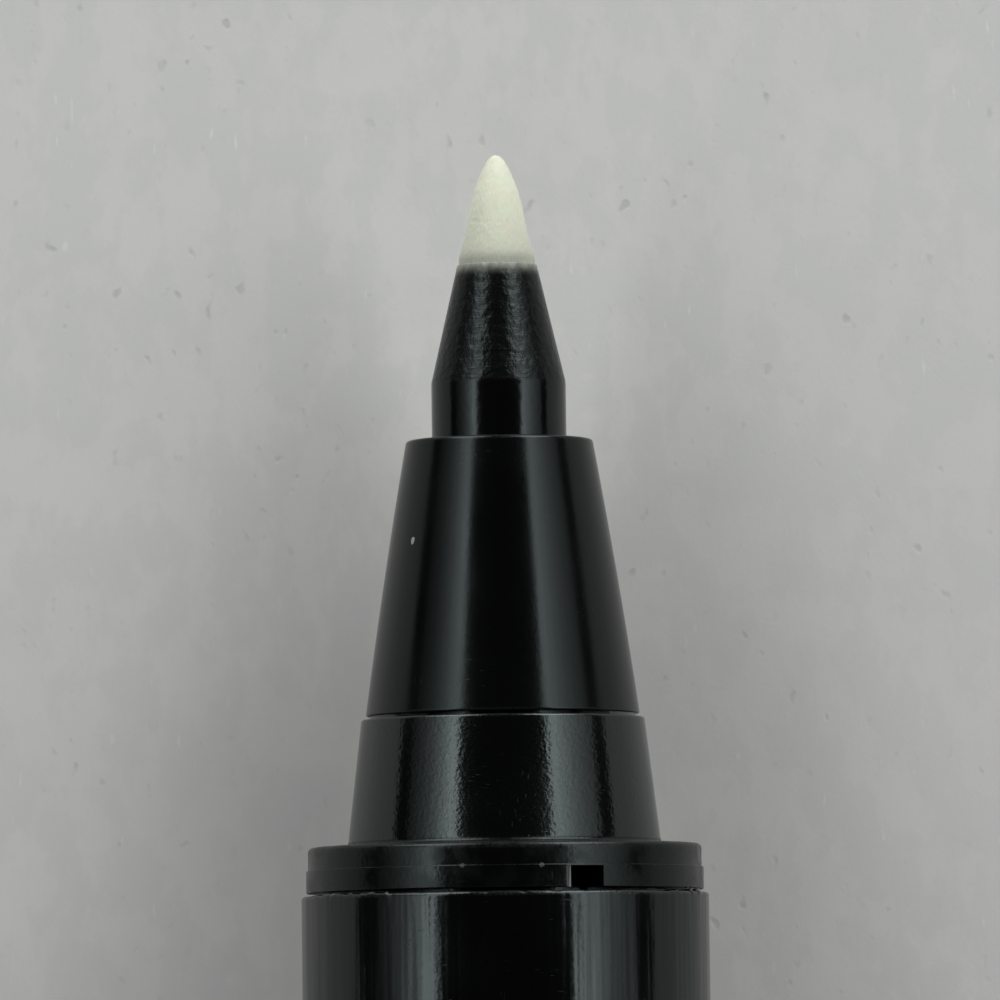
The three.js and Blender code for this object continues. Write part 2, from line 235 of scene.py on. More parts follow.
# ---- meshes ----
def outline(corners, closed=True, steps=5, worn=1.0):
    """Points [(x, radius, edge)] of an outline given by corners [(x, radius, rounding)].

    It runs forwards outside and backwards inside. A rounded corner becomes an arc of so
    many steps with a support point on either side. edge is worn on arcs that stand proud.
    """
    longest_reach = 0.42
    longest_support = 0.46
    points = []
    count = len(corners)
    for i, (x, r, rounding) in enumerate(corners):
        here = Vector((x, r))
        at_end = not closed and i in (0, count - 1)
        if rounding == 0 or at_end:
            points.append((x, r, 0.0))
            continue
        before = Vector(corners[i - 1][:2]) - here
        after = Vector(corners[(i + 1) % count][:2]) - here
        room = min(before.length, after.length)
        before.normalize()
        after.normalize()
        half = before.angle(after) / 2
        reach = min(rounding / math.tan(half), room * longest_reach)
        radius = reach * math.tan(half)
        centre = here + (before + after).normalized() * radius / math.sin(half)
        proud = worn if (-before).cross(after) < 0 else 0.0
        support = min(reach * 1.5, room * longest_support)
        points.append((*(here + before * support), 0.0))
        first = here + before * reach - centre
        last = here + after * reach - centre
        sweep = first.angle_signed(last)
        for k in range(steps + 1):
            spoke = first.copy()
            spoke.rotate(Matrix.Rotation(-sweep * k / steps, 2))
            points.append((*(centre + spoke), proud))
        points.append((*(here + after * support), 0.0))
    return points


def subdivided(points, longest):
    """The outline with points added, so that none of its steps is longer than that."""
    result = []
    for one, two in zip(points, [*points[1:], points[0]]):
        span = math.dist(one[:2], two[:2])
        count = max(1, math.ceil(span / longest))
        for k in range(count):
            t = k / count
            x = one[0] + (two[0] - one[0]) * t
            r = one[1] + (two[1] - one[1]) * t
            result.append((x, r, one[2] if k == 0 else 0.0))
    return result


def shaded(mesh):
    """Smooth shading, with the sharper edges left crisp."""
    mesh.shade_smooth()
    mesh.set_sharp_from_angle(angle=math.radians(40))


def new_piece(name, bm, material):
    """A smooth object of one material from a bmesh, which is used up."""
    bmesh.ops.recalc_face_normals(bm, faces=bm.faces)
    mesh = bpy.data.meshes.new(name)
    bm.to_mesh(mesh)
    bm.free()
    shaded(mesh)
    mesh.materials.append(material)
    piece = bpy.data.objects.new(name, mesh)
    bpy.context.scene.collection.objects.link(piece)
    return piece


def turned(points, closed=True, flaw=None, finer=1):
    """A bmesh turned round the pen's axis from an outline, with finer times the usual
    number of sides. Angle 0 is on top, and it grows towards the clip's side. flaw may move
    a point and mark it: (x, radius, angle) to (x, radius, mark)."""
    sides = bpy.context.scene.pen_sizes.sides * finer
    bm = bmesh.new()
    layer = bm.verts.layers.float.new("edge")
    rings = []
    for x, r, edge in points:
        on_axis = r < 1e-9
        ring = []
        for k in range(1 if on_axis else sides):
            angle = 2 * math.pi * k / sides
            px, pr, mark = flaw(x, r, angle) if flaw and not on_axis else (x, r, 0.0)
            where = (px, AXIS_Y - pr * math.sin(angle), AXIS_Z + pr * math.cos(angle))
            vert = bm.verts.new(where)
            vert[layer] = edge + mark
            ring.append(vert)
        rings.append(ring)
    pairs = list(zip(rings, rings[1:]))
    if closed:
        pairs.append((rings[-1], rings[0]))
    for one, two in pairs:
        for k in range(sides):
            near = [one[k % len(one)], one[(k + 1) % len(one)]]
            far = [two[(k + 1) % len(two)], two[k % len(two)]]
            corners = list(dict.fromkeys(near + far))
            if len(corners) > 2:
                bm.faces.new(corners)
    return bm


def cut(piece, cutters):
    """Takes the cutters' shapes out of a piece and removes them."""
    for cutter in cutters:
        modifier = piece.modifiers.new("cut", "BOOLEAN")
        modifier.operation = "DIFFERENCE"
        modifier.solver = "EXACT"
        modifier.object = cutter
    bpy.context.view_layer.update()
    graph = bpy.context.evaluated_depsgraph_get()
    whole = bpy.data.meshes.new_from_object(piece.evaluated_get(graph))
    piece.modifiers.clear()
    old = piece.data
    piece.data = whole
    whole.name = old.name
    bpy.data.meshes.remove(old)
    for cutter in cutters:
        mesh = cutter.data
        bpy.data.objects.remove(cutter)
        bpy.data.meshes.remove(mesh)
    shaded(piece.data)


def cutter_at(bm, x, angle, height, turn):
    """A cutter for cut() from a bmesh, which is turned and then set at a height from the
    pen's axis and an angle round it."""
    place = (
        Matrix.Translation((x, AXIS_Y, AXIS_Z))
        @ Matrix.Rotation(angle, 4, "X")
        @ Matrix.Translation((0, 0, height))
        @ turn
    )
    bmesh.ops.transform(bm, matrix=place, verts=bm.verts)
    return new_piece("cutter", bm, gloss_black())


def box_cutter(x, degrees, tilt, height, size):
    """A block for cut(), tilted by some degrees on its own axis."""
    bm = bmesh.new()
    bmesh.ops.create_cube(bm, size=1.0)
    turn = Matrix.Rotation(math.radians(tilt), 4, "X") @ Matrix.Diagonal((*size, 1))
    return cutter_at(bm, x, math.radians(degrees), height, turn)


def vent_cutter(angle):
    """A pin for cut(), parallel to the pen's axis, through the crown's face."""
    radius = 0.55 * MM
    bm = bmesh.new()
    pin = {"cap_ends": True, "segments": 32, "radius1": radius, "radius2": radius}
    bmesh.ops.create_cone(bm, depth=4 * MM, **pin)
    return cutter_at(bm, CROWN_FACE, angle, 2.5 * MM, Matrix.Rotation(math.pi / 2, 4, "Y"))


def zone(piece, material, low, high):
    """Gives the faces between two stations along the pen another material."""
    mesh = piece.data
    mesh.materials.append(material)
    for face in mesh.polygons:
        if low < face.center.x < high:
            face.material_index = len(mesh.materials) - 1


def finish_piece(piece, body, node):
    """Makes a piece ride on a body, and hides the node that it stands for."""
    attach(piece, body)
    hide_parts(node)


# ---- materials ----
class Surface:
    """Short hand for a material's nodes. Lengths are in metres on the pen."""

    def __init__(self, name="", material=None):
        self.material = material or bpy.data.materials.new(name)
        self.material.use_nodes = True
        self.tree = self.material.node_tree
        self.shader = self.tree.nodes["Principled BSDF"]
        self.place = self.tree.nodes.new("ShaderNodeTexCoord").outputs["Object"]

    def feed(self, socket, value):
        """Links a socket to another, or sets its value."""
        if isinstance(value, bpy.types.NodeSocket):
            self.tree.links.new(value, socket)
        else:
            socket.default_value = value

    def set(self, **values):
        """Feeds the shader's sockets, named with underscores for spaces."""
        for key, value in values.items():
            self.feed(self.shader.inputs[key.replace("_", " ")], value)

    def math(self, operation, *values):
        """The result of an operation on values or sockets."""
        node = self.tree.nodes.new("ShaderNodeMath")
        node.operation = operation
        for socket, value in zip(node.inputs, values):
            self.feed(socket, value)
        return node.outputs[0]

    def times(self, one, two):
        """The product of two values."""
        return self.math("MULTIPLY", one, two)

    def scaled(self, x, y, z):
        """The place on the pen, with each of its axes scaled."""
        node = self.tree.nodes.new("ShaderNodeVectorMath")
        node.operation = "MULTIPLY"
        self.feed(node.inputs[0], self.place)
        node.inputs[1].default_value = (x, y, z)
        return node.outputs[0]

    def noise(self, size, stretch=(1, 1, 1), detail=2.0, roughness=0.5):
        """Noise from 0 to 1, whose features are about size long, or size times stretch."""
        node = self.tree.nodes.new("ShaderNodeTexNoise")
        self.feed(node.inputs["Vector"], self.scaled(*(1 / s for s in stretch)))
        node.inputs["Scale"].default_value = 1 / size
        node.inputs["Detail"].default_value = detail
        node.inputs["Roughness"].default_value = roughness
        return node.outputs["Fac"]

    def specks(self, spacing, size, share):
        """1 inside round specks of that size, on a share of the cells of that spacing."""
        node = self.tree.nodes.new("ShaderNodeTexVoronoi")
        self.feed(node.inputs["Vector"], self.place)
        node.inputs["Scale"].default_value = 1 / spacing
        parts = self.tree.nodes.new("ShaderNodeSeparateColor")
        self.feed(parts.inputs["Color"], node.outputs["Color"])
        chosen = self.math("LESS_THAN", parts.outputs["Red"], share)
        reach = self.times(parts.outputs["Green"], size / spacing)
        inside = self.math("LESS_THAN", node.outputs["Distance"], reach)
        return self.times(chosen, inside)

    def spot(self, place, size):
        """1 inside a ragged spot of that size at a place."""
        node = self.tree.nodes.new("ShaderNodeVectorMath")
        node.operation = "DISTANCE"
        self.feed(node.inputs[0], self.place)
        node.inputs[1].default_value = place
        ragged = self.times(self.noise(size), size)
        return self.math("LESS_THAN", node.outputs["Value"], ragged)

    def span(self, value, low, high, to_low=0.0, to_high=1.0):
        """Carries the range from low to high smoothly over to another one."""
        node = self.tree.nodes.new("ShaderNodeMapRange")
        node.interpolation_type = "SMOOTHSTEP"
        self.feed(node.inputs["Value"], value)
        node.inputs["From Min"].default_value = low
        node.inputs["From Max"].default_value = high
        node.inputs["To Min"].default_value = to_low
        node.inputs["To Max"].default_value = to_high
        return node.outputs["Result"]

    def mix(self, share, one, two):
        """The first colour with a share of the second."""
        node = self.tree.nodes.new("ShaderNodeMix")
        node.data_type = "RGBA"
        self.feed(node.inputs["Factor"], share)
        for socket, colour in ((node.inputs[6], one), (node.inputs[7], two)):
            flat = not isinstance(colour, bpy.types.NodeSocket)
            self.feed(socket, (*colour, 1.0) if flat else colour)
        return node.outputs[2]

    def total(self, *values):
        """The sum of values."""
        result = values[0]
        for value in values[1:]:
            result = self.math("ADD", result, value)
        return result

    def bump(self, microns):
        """Raises the surface by that many microns."""
        node = self.tree.nodes.new("ShaderNodeBump")
        node.inputs["Distance"].default_value = MICRON
        self.feed(node.inputs["Height"], microns)
        self.feed(self.shader.inputs["Normal"], node.outputs["Normal"])

    def along(self):
        """The place along the pen."""
        node = self.tree.nodes.new("ShaderNodeSeparateXYZ")
        self.feed(node.inputs[0], self.place)
        return node.outputs["X"]

    def edge(self):
        """The mark on a piece's points: 1 on a rubbed rim, and more on a burr. On the collar it
        also carries painted highlights, on the ledge's top and the bevel strip.
        """
        node = self.tree.nodes.new("ShaderNodeAttribute")
        node.attribute_name = "edge"
        return node.outputs["Fac"]


# The relief of black plastic: in microns, the slow waves of orange peel, dimples, the rings
# that a turned mould leaves, streaks along the pen, blotches, the fine grain and pits. Then
# the share of scratches, and how far the roughness differs in patches.
RELIEF = {
    "peel": 2.5,
    "dimples": 0.3,
    "rings": 0.3,
    "streaks": 0.0,
    "blotches": 0.3,
    "grain": 0.15,
    "pits": 0.0,
    "scratches": 1.0,
    "patches": 0.0,
}


def black_plastic(name, roughness, gloss, satin=False, **changes):
    """Moulded black plastic, with rubbed rims, scratches and dust, and the painted highlights
    that a piece marks on its points. changes are to RELIEF.
    """
    relief = {**RELIEF, **changes}
    colours = bpy.context.scene.pen_colours
    colour = colours.satin_black if satin else colours.gloss_black
    worn = colours.worn_edge
    # The burr colour also paints the highlight on the collar's bevel strip.
    burr = (0.20, 0.21, 0.20)
    lint = (0.16, 0.17, 0.16)
    s = Surface(name)
    tooth = s.noise(0.05 * MM, detail=3.0)
    cloud = s.noise(2.4 * MM, detail=2.0)
    waves = s.noise(0.55 * MM, detail=1.0)
    drag = s.span(s.noise(0.03 * MM, stretch=(30, 1, 1)), 0.68, 0.76)
    drag = s.times(drag, s.span(cloud, 0.5, 0.65))
    rub = s.span(s.noise(0.03 * MM, stretch=(1, 14, 14)), 0.66, 0.76)
    rub = s.times(rub, s.span(s.noise(1.5 * MM), 0.52, 0.64))
    scratches = s.times(s.math("MAXIMUM", drag, rub), relief["scratches"])
    dust = s.specks(1.3 * MM, 0.03 * MM, 0.3)
    pits = s.specks(0.26 * MM, 0.045 * MM, 0.5)
    # Rubbed rims in the worn colour; on the collar's ledge and bevel the same mask paints a
    # highlight.
    wear_and_highlight = s.times(s.edge(), s.span(tooth, 0.35, 0.65, 0.25, 1.0))
    wear_and_highlight = s.times(wear_and_highlight, s.span(cloud, 0.3, 0.7, 0.15, 0.8))
    base = s.mix(wear_and_highlight, colour, worn)
    # Pale where the mark runs high: burrs, and the painted highlight on the collar's bevel
    # strip.
    base = s.mix(s.span(s.edge(), 1.1, 1.9, 0.0, 0.7), base, burr)
    base = s.mix(s.times(scratches, 0.15), base, worn)
    base = s.mix(s.times(dust, 0.6), base, lint)
    s.set(Base_Color=base, IOR=1.42, Specular_IOR_Level=gloss)
    s.set(Specular_Tint=(0.82, 0.98, 0.97, 1.0))
    rough = s.total(
        s.span(cloud, 0.3, 0.7, roughness - 0.02, roughness + 0.02),
        s.span(tooth, 0.3, 0.7, -0.02, 0.02),
        s.span(waves, 0.35, 0.65, -relief["patches"], relief["patches"]),
        s.times(scratches, 0.2),
        s.times(wear_and_highlight, 0.12),
    )
    s.set(Roughness=rough)
    fields = {
        "peel": waves,
        "dimples": s.noise(0.11 * MM, detail=1.0),
        "rings": s.noise(0.2 * MM, stretch=(1, 12, 12), detail=3.0),
        "streaks": s.noise(0.5 * MM, stretch=(25, 1, 1), detail=2.0),
        "blotches": s.noise(0.2 * MM, detail=2.0),
        "grain": tooth,
    }
    height = s.total(
        *(s.times(field, relief[kind]) for kind, field in fields.items()),
        s.times(scratches, -1.0),
        s.times(pits, -relief["pits"]),
        s.times(dust, 12.0),
    )
    s.bump(height)
    return s.material


def nicked(material, places, size, colour):
    """Adds small nicks of a colour to a plastic at those places."""
    s = Surface(material=material)
    nicks = s.math("MINIMUM", s.total(*(s.spot(place, size) for place in places)), 1.0)
    black = s.shader.inputs["Base Color"].links[0].from_socket
    s.set(Base_Color=s.mix(nicks, black, colour))
    return material


def once(name, make):
    """The material of that name, made the first time it is asked for."""
    return bpy.data.materials.get(name) or make(name)


def gloss_black():
    """The barrel and the cap, with the streaks of a drawn tube."""
    relief = {"dimples": 1.5, "rings": 4.0, "streaks": 26.0, "scratches": 1.5}
    return once("gloss black plastic", lambda name: black_plastic(name, 0.15, 0.5, **relief))


def nose_black():
    """The long taper, with faint rings from its mould and a nick."""

    def make(name):
        material = black_plastic(name, 0.18, 0.36, peel=1.5, rings=1.5, dimples=1.2)
        place = on_pen(NOSE_FRONT - 2.67 * MM, 2.86 * MM, -52)
        return nicked(material, [place], 0.17 * MM, (0.24, 0.25, 0.24))

    return once("nose black plastic", make)


def peeled_black():
    """The collar's step and the tail's stud, with orange peel."""
    relief = {"peel": 2.5, "dimples": 4.2, "pits": 6.0, "blotches": 2.0}
    return once(
        "orange peel black plastic", lambda name: black_plastic(name, 0.15, 0.68, **relief)
    )


def flange_black():
    """The collar's flange, duller than its step, with two small nicks on its ledge."""
    relief = {"peel": 4.0, "dimples": 3.5, "pits": 3.0, "patches": 0.06}

    def make(name):
        material = black_plastic(name, 0.25, 0.33, **relief)
        ledge = BARREL_FRONT + SEAM + 0.56 * MM
        places = [on_pen(ledge, 5.1 * MM, degrees) for degrees in (-12.2, 10.4)]
        return nicked(material, places, 0.13 * MM, (0.05, 0.052, 0.05))

    return once("dull black plastic", make)


def satin_black():
    """The neck of the nib holder."""
    relief = {"peel": 1.5, "rings": 4.0, "blotches": 4.0}
    return once(
        "satin black plastic", lambda name: black_plastic(name, 0.16, 0.4, satin=True, **relief)
    )


def rough_black():
    """The taper of the nib holder, blotchy, with felt smeared over its mouth."""
    relief = {"peel": 1.5, "rings": 14.0, "blotches": 20.0, "grain": 0.8}
    felt = bpy.context.scene.pen_colours.nib_foot

    def make(name):
        material = black_plastic(name, 0.25, 0.28, satin=True, **relief)
        s = Surface(material=material)
        smear = s.span(s.along(), HOLDER_MOUTH - 0.42 * MM, HOLDER_MOUTH + 0.1 * MM)
        ragged = s.span(s.noise(0.14 * MM, stretch=(2, 1, 1), detail=2.0), 0.25, 0.75, 0.8, 1.2)
        smear = s.times(s.math("POWER", smear, 2.0), ragged)
        black = s.shader.inputs["Base Color"].links[0].from_socket
        s.set(Base_Color=s.mix(smear, black, felt))
        return material

    return once("rough black plastic", make)


def nib_felt():
    """Ground, pressed fibre: streaks along the pen, dark pits, greyer at the foot."""
    colours = bpy.context.scene.pen_colours
    s = Surface("nib felt")
    # The felt turns greyer towards the holder's mouth, over a long span and a short one.
    greyer_towards_mouth = s.span(s.along(), HOLDER_MOUTH + 0.2 * MM, HOLDER_MOUTH + 1.5 * MM, 0.55, 0.0)
    mouth = s.span(s.along(), HOLDER_MOUTH, HOLDER_MOUTH + 0.42 * MM, 0.55, 0.0)
    foot = s.math("ADD", greyer_towards_mouth, mouth)
    fibres = s.noise(0.03 * MM, stretch=(7, 1, 1), detail=4.0)
    cloud = s.noise(0.5 * MM, detail=2.0)
    pits = s.specks(0.45 * MM, 0.03 * MM, 0.35)
    base = s.mix(foot, colours.nib, colours.nib_foot)
    base = s.mix(s.span(fibres, 0.35, 0.75, 0.0, 0.16), base, (0.46, 0.47, 0.36))
    base = s.mix(s.span(cloud, 0.45, 0.75, 0.0, 0.2), base, (0.52, 0.54, 0.42))
    base = s.mix(s.times(pits, 0.35), base, (0.35, 0.36, 0.27))
    s.set(Base_Color=base, Roughness=s.span(fibres, 0.3, 0.7, 0.82, 0.96), IOR=1.4)
    s.set(Subsurface_Weight=0.35, Subsurface_Scale=0.25 * MM, Sheen_Weight=0.15)
    s.set(Specular_IOR_Level=0.25)
    s.bump(s.total(s.times(fibres, 14.0), s.times(pits, -10.0)))
    return s.material


def reservoir_fibre():
    """Bonded fibre, in strands along the pen, stained unevenly by the fluid."""
    s = Surface("amber reservoir fibre")
    strands = s.noise(0.05 * MM, stretch=(40, 1, 1), detail=4.0)
    soak = s.noise(5.0 * MM, stretch=(2, 1, 1))
    base = s.mix(s.span(soak, 0.3, 0.7), (0.55, 0.40, 0.18), (0.40, 0.27, 0.10))
    base = s.mix(s.span(strands, 0.3, 0.7, 0.0, 0.4), base, (0.68, 0.55, 0.33))
    s.set(Base_Color=base, Roughness=s.span(strands, 0.3, 0.7, 0.85, 1.0))
    s.bump(s.times(strands, 30.0))
    return s.material


def clear_film():
    """Thin film, hazy and creased."""
    s = Surface("clear film")
    creases = s.noise(1.2 * MM, stretch=(3, 1, 1), detail=3.0)
    haze = s.mix(s.span(creases, 0.3, 0.7), (0.80, 0.82, 0.80), (0.66, 0.68, 0.66))
    s.set(Base_Color=haze, Roughness=s.span(creases, 0.3, 0.7, 0.14, 0.3))
    s.bump(s.times(creases, 25.0))
    return s.material


def milky_plastic():
    """Soft natural plastic, with the flow of its moulding."""
    s = Surface("milky liner plastic")
    colour = bpy.context.scene.pen_colours.liner
    flow = s.noise(1.8 * MM, stretch=(4, 1, 1), detail=3.0)
    tooth = s.noise(0.06 * MM, detail=2.0)
    base = s.mix(s.span(flow, 0.3, 0.7, 0.0, 0.5), colour, tuple(c * 0.86 for c in colour))
    s.set(Base_Color=base, Roughness=s.span(tooth, 0.3, 0.7, 0.38, 0.5), IOR=1.5)
    s.set(Subsurface_Weight=0.3, Subsurface_Scale=0.6 * MM)
    s.bump(s.total(s.times(flow, 4.0), s.times(tooth, 0.8)))
    return s.material


# ---- operators: the writing end ----
def felt_curve(points, steps=6):
    """A smooth outline through the points, as a Catmull-Rom curve."""
    line = [Vector(p) for p in points]
    line = [line[0] * 2 - line[1], *line, line[-1] * 2 - line[-2]]
    result = []
    for a, b, c, d in zip(line, line[1:], line[2:], line[3:]):
        for k in range(steps):
            t = k / steps
            bend = 2 * a - 5 * b + 4 * c - d
            twist = 3 * (b - c) + d - a
            result.append((2 * b + (c - a) * t + bend * t**2 + twist * t**3) / 2)
    result.append(line[-2])
    return result


class PEN_OT_nib(bpy.types.Operator):
    """Make the felt nib, with its shank inside the holder"""

    bl_idname = "pen.nib"
    bl_label = "Nib"

    def execute(self, context):
        sizes = context.scene.pen_sizes
        tail = back("nib")
        shank = 0.965 * MM
        grain = 0.09 * MM
        # The bullet from its foot to its point: millimetres from the point, and radius.
        shape = [
            (-2.86, 0.990),
            (-2.66, 0.975),
            (-2.42, 0.915),
            (-2.16, 0.838),
            (-1.90, 0.775),
            (-1.65, 0.725),
            (-1.25, 0.655),
            (-0.95, 0.575),
            (-0.65, 0.465),
            (-0.35, 0.335),
            (-0.12, 0.195),
            (-0.02, 0.085),
        ]
        points = [
            (tail, 0.0, 0.0),
            (tail + 0.4 * MM, shank * 0.8, 0.0),
            (tail + 1.5 * MM, shank, 0.0),
            (NIB_TIP - 3.2 * MM, shank, 0.0),
            *((x * MM + NIB_TIP, r * MM, 0.0) for x, r in felt_curve(shape)),
            (NIB_TIP, 0.0, 0.0),
        ]

        def felt(x, r, angle):
            """Lets the felt wander where it stands out of the holder."""
            at = Vector((x, r * math.sin(angle), r * math.cos(angle))) / grain
            shows = min(1.0, max(0.0, (x - HOLDER_MOUTH) / (0.3 * MM)))
            return x, r + noise.noise(at) * sizes.fuzz * shows, 0.0

        bm = turned(points, closed=False, flaw=felt)
        piece = new_piece("felt_nib", bm, nib_felt())
        finish_piece(piece, "pen", "nib")
        return {"FINISHED"}


class PEN_OT_nib_holder(bpy.types.Operator):
    """Make the tapered tip that grips the nib"""

    bl_idname = "pen.nib_holder"
    bl_label = "Nib holder"

    def execute(self, context):
        mouth = HOLDER_MOUTH
        taper_back = mouth - 3.06 * MM
        rear = back("nib_holder")
        stop_front = back("nose_cone") - SEAM
        stop_back = stop_front - 1.5 * MM
        bore = 0.99 * MM
        lip = 1.03 * MM
        neck = 1.74 * MM
        sleeve = 1.6 * MM
        stop = 2.45 * MM
        corners = [
            (rear, sleeve, EASED),
            (stop_back, sleeve, 0),
            (stop_back, stop, EASED),
            (stop_front, stop, EASED),
            (stop_front, neck, 0),
            (taper_back, neck, 0.35 * MM),
            (mouth, lip, 0.045 * MM),
            (mouth, bore, 0),
            (rear, bore, 0),
        ]
        bm = turned(outline(corners, worn=0.1))
        piece = new_piece("tapered_tip", bm, satin_black())
        zone(piece, rough_black(), taper_back, mouth + MM)
        finish_piece(piece, "pen", "nib_holder")
        return {"FINISHED"}


class PEN_OT_nose_cone(bpy.types.Operator):
    """Make the long glossy taper"""

    bl_idname = "pen.nose_cone"
    bl_label = "Nose cone"

    def execute(self, context):
        sizes = context.scene.pen_sizes
        shoulder = STEP_FRONT + SEAM
        rear = back("nose_cone")
        length = NOSE_FRONT - shoulder
        plug = 2.75 * MM
        foot = 3.537 * MM
        tip = 2.41 * MM
        bore = 1.79 * MM
        corners = [
            (rear, plug, EASED),
            (shoulder, plug, 0),
            (shoulder, foot, CRISP),
            (NOSE_FRONT, tip, sizes.rim),
            (NOSE_FRONT, bore, CRISP),
            (rear, bore, 0),
        ]

        def swell(x, r, angle):
            """Bows the outside out, most of all halfway along."""
            t = min(1.0, max(0.0, (x - shoulder) / length))
            outside = r > (tip + bore) / 2
            return x, r + (sizes.nose_swell * 4 * t * (1 - t) if outside else 0.0), 0.0

        bm = turned(subdivided(outline(corners, worn=0.5), 0.5 * MM), flaw=swell)
        piece = new_piece("nose_taper", bm, nose_black())
        finish_piece(piece, "pen", "nose_cone")
        return {"FINISHED"}


class PEN_OT_section_collar(bpy.types.Operator):
    """Make the step, the two-level flange with its vent notch, and the skirt"""

    bl_idname = "pen.section_collar"
    bl_label = "Section collar"

    def execute(self, context):
        seat = BARREL_FRONT + SEAM
        band = seat + 0.58 * MM
        flange = seat + 1.18 * MM
        cove = 0.14 * MM
        rear = back("section_collar")
        socket = back("nose_cone") - SEAM
        band_radius = 5.12 * MM
        flange_radius = 5.07 * MM
        step_foot = 4.04 * MM
        step_top = 3.65 * MM
        socket_radius = 2.8 * MM
        bore = 3.35 * MM
        corners = [
            (rear, PRESSED_RADIUS, 0.2 * MM),
            (seat, PRESSED_RADIUS, 0),
            (seat, band_radius, 0.03 * MM),
            (band, band_radius, 0.02 * MM),
            (band, flange_radius, 0.01 * MM),
            (flange, flange_radius, 0.13 * MM),
            (flange, step_foot, cove),
            (STEP_FRONT, step_top, 0.07 * MM),
            (STEP_FRONT, socket_radius, 0),
            (socket, socket_radius, 0),
            (socket, bore, 0),
            (rear, bore, 0),
        ]
        # The ledge's pale line on top is partly rubbed wear and partly a painted highlight.
        ledge_wear_and_highlight_at = 4
        ledge_wear_and_highlight_reach = 16

        def ledge(x, r, angle):
            """Pales the ledge over the band for some degrees on top: rubbed wear, with a painted
            highlight line along it.
            """
            if abs(x - band) > CRISP or r < flange_radius - EASED:
                return x, r, 0.0
            degrees = math.degrees(math.remainder(angle, 2 * math.pi))
            shows = max(0.0, 1 - abs(degrees - ledge_wear_and_highlight_at) / ledge_wear_and_highlight_reach)
            return x, r, 0.45 * shows - 0.5

        bm = turned(outline(corners, worn=0.5), flaw=ledge, finer=2)
        piece = new_piece("stepped_collar", bm, peeled_black())
        notch_at = 24.2
        notch_size = (1.09 * MM, 0.9 * MM, 1.3 * MM)
        bevel_at = 18.7
        bevel_size = (1.12 * MM, 0.13 * MM, 0.2 * MM)
        cutters = [
            box_cutter(seat, notch_at, 0.0, 4.5 * MM, notch_size),
            box_cutter(seat, bevel_at, 4.0, 5.19 * MM, bevel_size),
        ]
        cut(piece, cutters)
        zone(piece, flange_black(), rear - MM, flange + cove)
        # The pale mark on the notch's bevel strip is a painted highlight, where the bevel faces
        # the light.
        rubbed = piece.data.attributes["edge"].data
        for vert in piece.data.vertices:
            angle = math.degrees(math.atan2(AXIS_Y - vert.co.y, vert.co.z - AXIS_Z))
            on_band = seat - SEAM < vert.co.x < band - 0.01 * MM
            if on_band and abs(angle - bevel_at) < 0.8:
                rubbed[vert.index].value = 1.75
        finish_piece(piece, "pen", "section_collar")
        return {"FINISHED"}


# ---- operators: the barrel ----
class PEN_OT_barrel(bpy.types.Operator):
    """Make the barrel, with the moulding burrs on its front rim"""

    bl_idname = "pen.barrel"
    bl_label = "Barrel"

    def execute(self, context):
        sizes = context.scene.pen_sizes
        bore = BARREL_RADIUS - 1.05 * MM
        burr_reach = 0.15 * MM
        corners = [
            (BARREL_BACK, bore, CRISP),
            (BARREL_BACK, BARREL_RADIUS, sizes.rim),
            (BARREL_FRONT - 0.4 * MM, BARREL_RADIUS, 0),
            (BARREL_FRONT, BARREL_RADIUS, sizes.rim),
            (BARREL_FRONT, bore, CRISP),
        ]
        # The burrs round the rim: place and half width in degrees, and relative height.
        burrs = (
            (-61, 9.0, 0.5),
            (-49.2, 0.8, 1.0),
            (-41.5, 4.2, 0.4),
            (-34.8, 1.0, 0.6),
            (58, 1.0, 0.6),
            (66.5, 1.0, 0.9),
            (71.5, 1.6, 0.9),
        )

        def burr(x, r, angle):
            """Raises burrs on the front rim, and chips it."""
            near = max(0.0, 1 - (BARREL_FRONT - x) / burr_reach)
            if r < BARREL_RADIUS - 0.2 * MM or near == 0:
                return x, r, 0.0
            lift = 0.0
            for at, width, height in burrs:
                off = math.remainder(angle - math.radians(at), 2 * math.pi)
                lift += height * math.exp(-((math.degrees(off) / width) ** 4))
            ragged = noise.noise(Vector((angle * 45, x / EASED, 0.5)))
            lift *= max(0.0, 0.7 + 1.6 * ragged)
            chip = max(0.0, noise.noise(Vector((angle * 22, 0.5, 0.5))) - 0.1)
            forward = sizes.burr * (lift - 0.8 * chip) * near
            return x + forward, r + sizes.burr * lift * near * 0.5, 0.6 * lift * near

        bm = turned(outline(corners), flaw=burr, finer=5)
        piece = new_piece("barrel_tube", bm, gloss_black())
        finish_piece(piece, "pen", "barrel")
        return {"FINISHED"}


